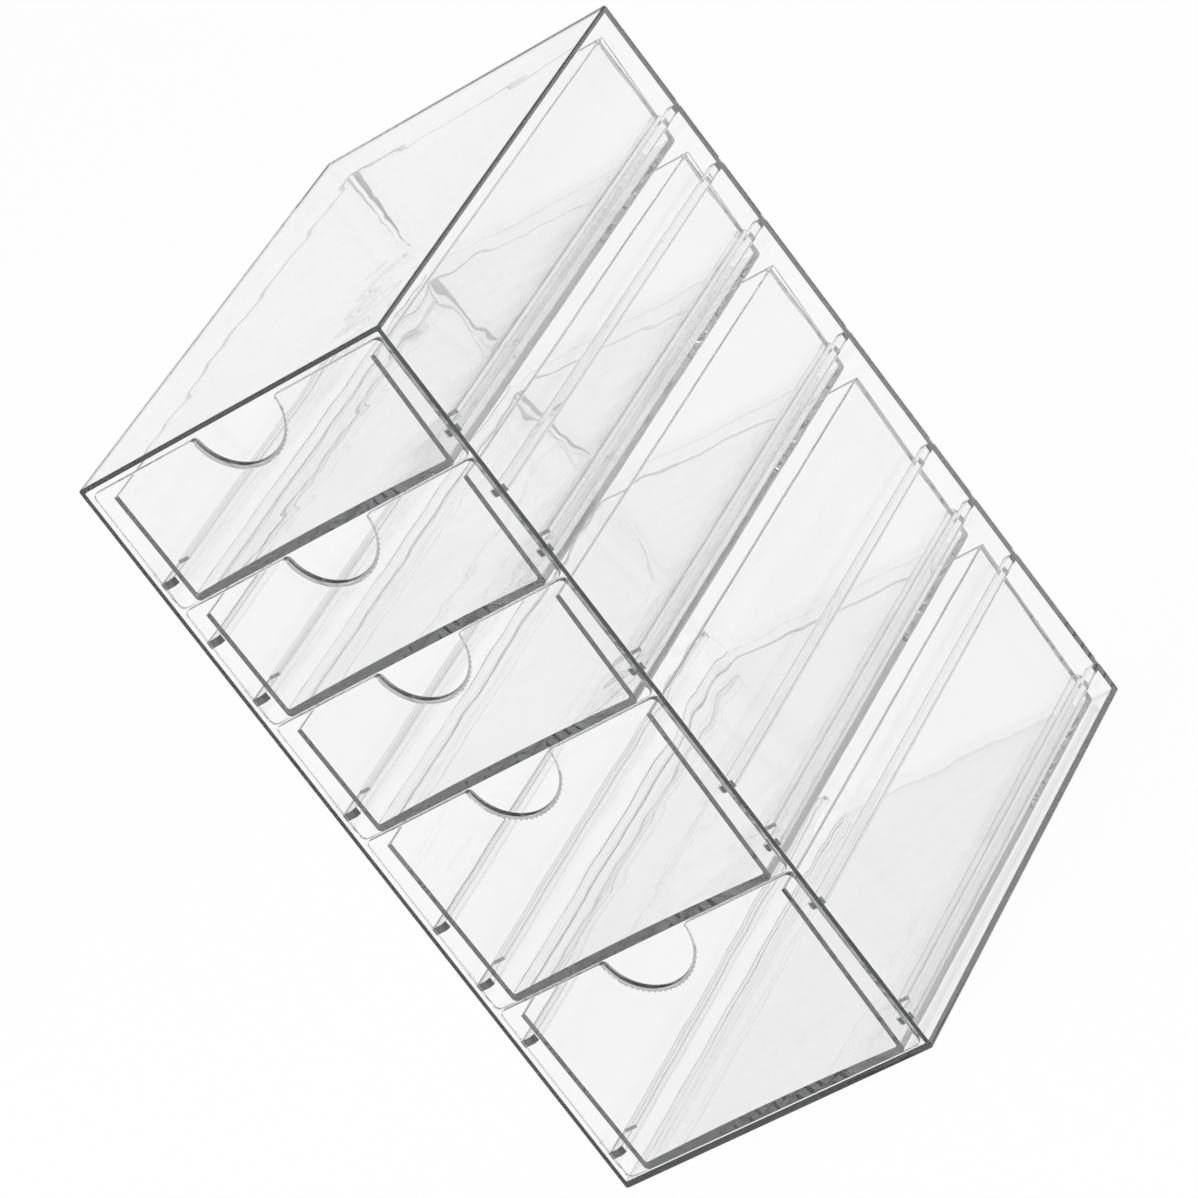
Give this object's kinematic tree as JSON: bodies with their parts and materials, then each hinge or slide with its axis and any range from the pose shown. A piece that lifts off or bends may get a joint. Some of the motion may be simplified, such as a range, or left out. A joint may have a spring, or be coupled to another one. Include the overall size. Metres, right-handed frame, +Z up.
{
  "type": "drawer organizer",
  "caption": "Clear moulded countertop tower of low and tall pull-out drawers, each with a half-round finger notch in its front panel, for cosmetics or jewellery.",
  "frame": {"origin": "bottom centre of the housing's footprint", "axes": "+Z up, +X along the width to the right seen from the front, the drawers face and pull out along -Y"},
  "size_m": [0.113, 0.187, 0.2537],
  "materials": {
    "clear_housing": "polished clear plastic",
    "clear_drawer": "polished clear plastic"
  },
  "bodies": {
    "housing": {"housing": "clear_housing"},
    "drawer_1": {"drawer_1": "clear_drawer"},
    "drawer_2": {"drawer_2": "clear_drawer"},
    "drawer_3": {"drawer_3": "clear_drawer"},
    "drawer_4": {"drawer_4": "clear_drawer"},
    "drawer_5": {"drawer_5": "clear_drawer"}
  },
  "joints": [
    {"name": "drawer_1_slide", "type": "slide", "parent": "housing", "child": "drawer_1", "axis": [0, -1, 0], "range_m": [0, 0.15]},
    {"name": "drawer_2_slide", "type": "slide", "parent": "housing", "child": "drawer_2", "axis": [0, -1, 0], "range_m": [0, 0.15]},
    {"name": "drawer_3_slide", "type": "slide", "parent": "housing", "child": "drawer_3", "axis": [0, -1, 0], "range_m": [0, 0.15]},
    {"name": "drawer_4_slide", "type": "slide", "parent": "housing", "child": "drawer_4", "axis": [0, -1, 0], "range_m": [0, 0.15]},
    {"name": "drawer_5_slide", "type": "slide", "parent": "housing", "child": "drawer_5", "axis": [0, -1, 0], "range_m": [0, 0.15]}
  ]
}
